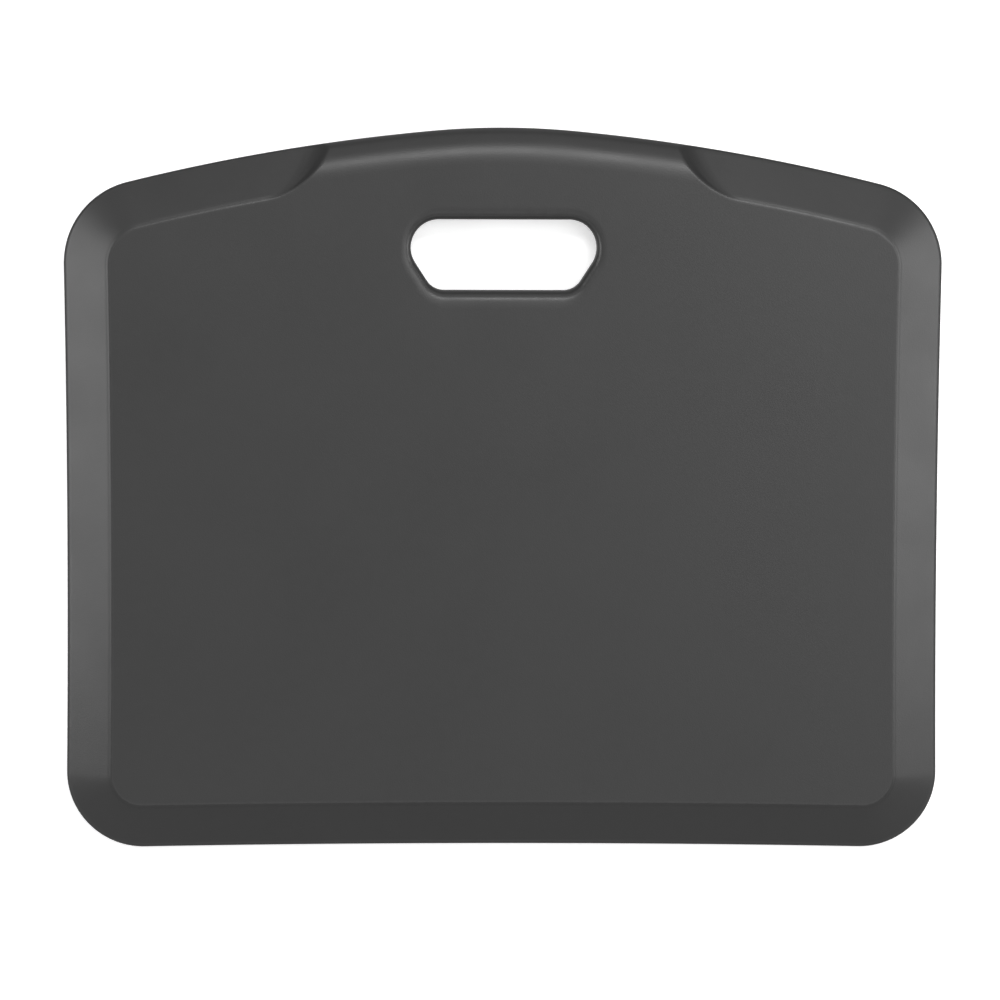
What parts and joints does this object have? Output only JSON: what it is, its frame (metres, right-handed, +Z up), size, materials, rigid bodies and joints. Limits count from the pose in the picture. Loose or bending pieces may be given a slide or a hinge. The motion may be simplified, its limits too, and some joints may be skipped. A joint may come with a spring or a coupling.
{
  "type": "kneeling pad",
  "caption": "Flat moulded foam kneeling pad with bevelled edges and a carrying handle formed by a hand opening near its rear edge.",
  "frame": {"origin": "centre of the bounding box in plan, on the floor plane that the pad lies on", "axes": "+Z up through the kneeling face, +X along the pad's width, +Y towards the edge with the carrying handle"},
  "size_m": [0.5588, 0.4608, 0.02],
  "materials": {
    "skin": "satin-matt self-skinned polyurethane with a very fine leather-like grain",
    "foam": "open cellular polyurethane foam, dark grey",
    "base": "matt anti-slip sheet with shallow grooves"
  },
  "bodies": {
    "root": {"top_skin": "skin", "foam_core": "foam", "base_skin": "base"}
  },
  "joints": []
}
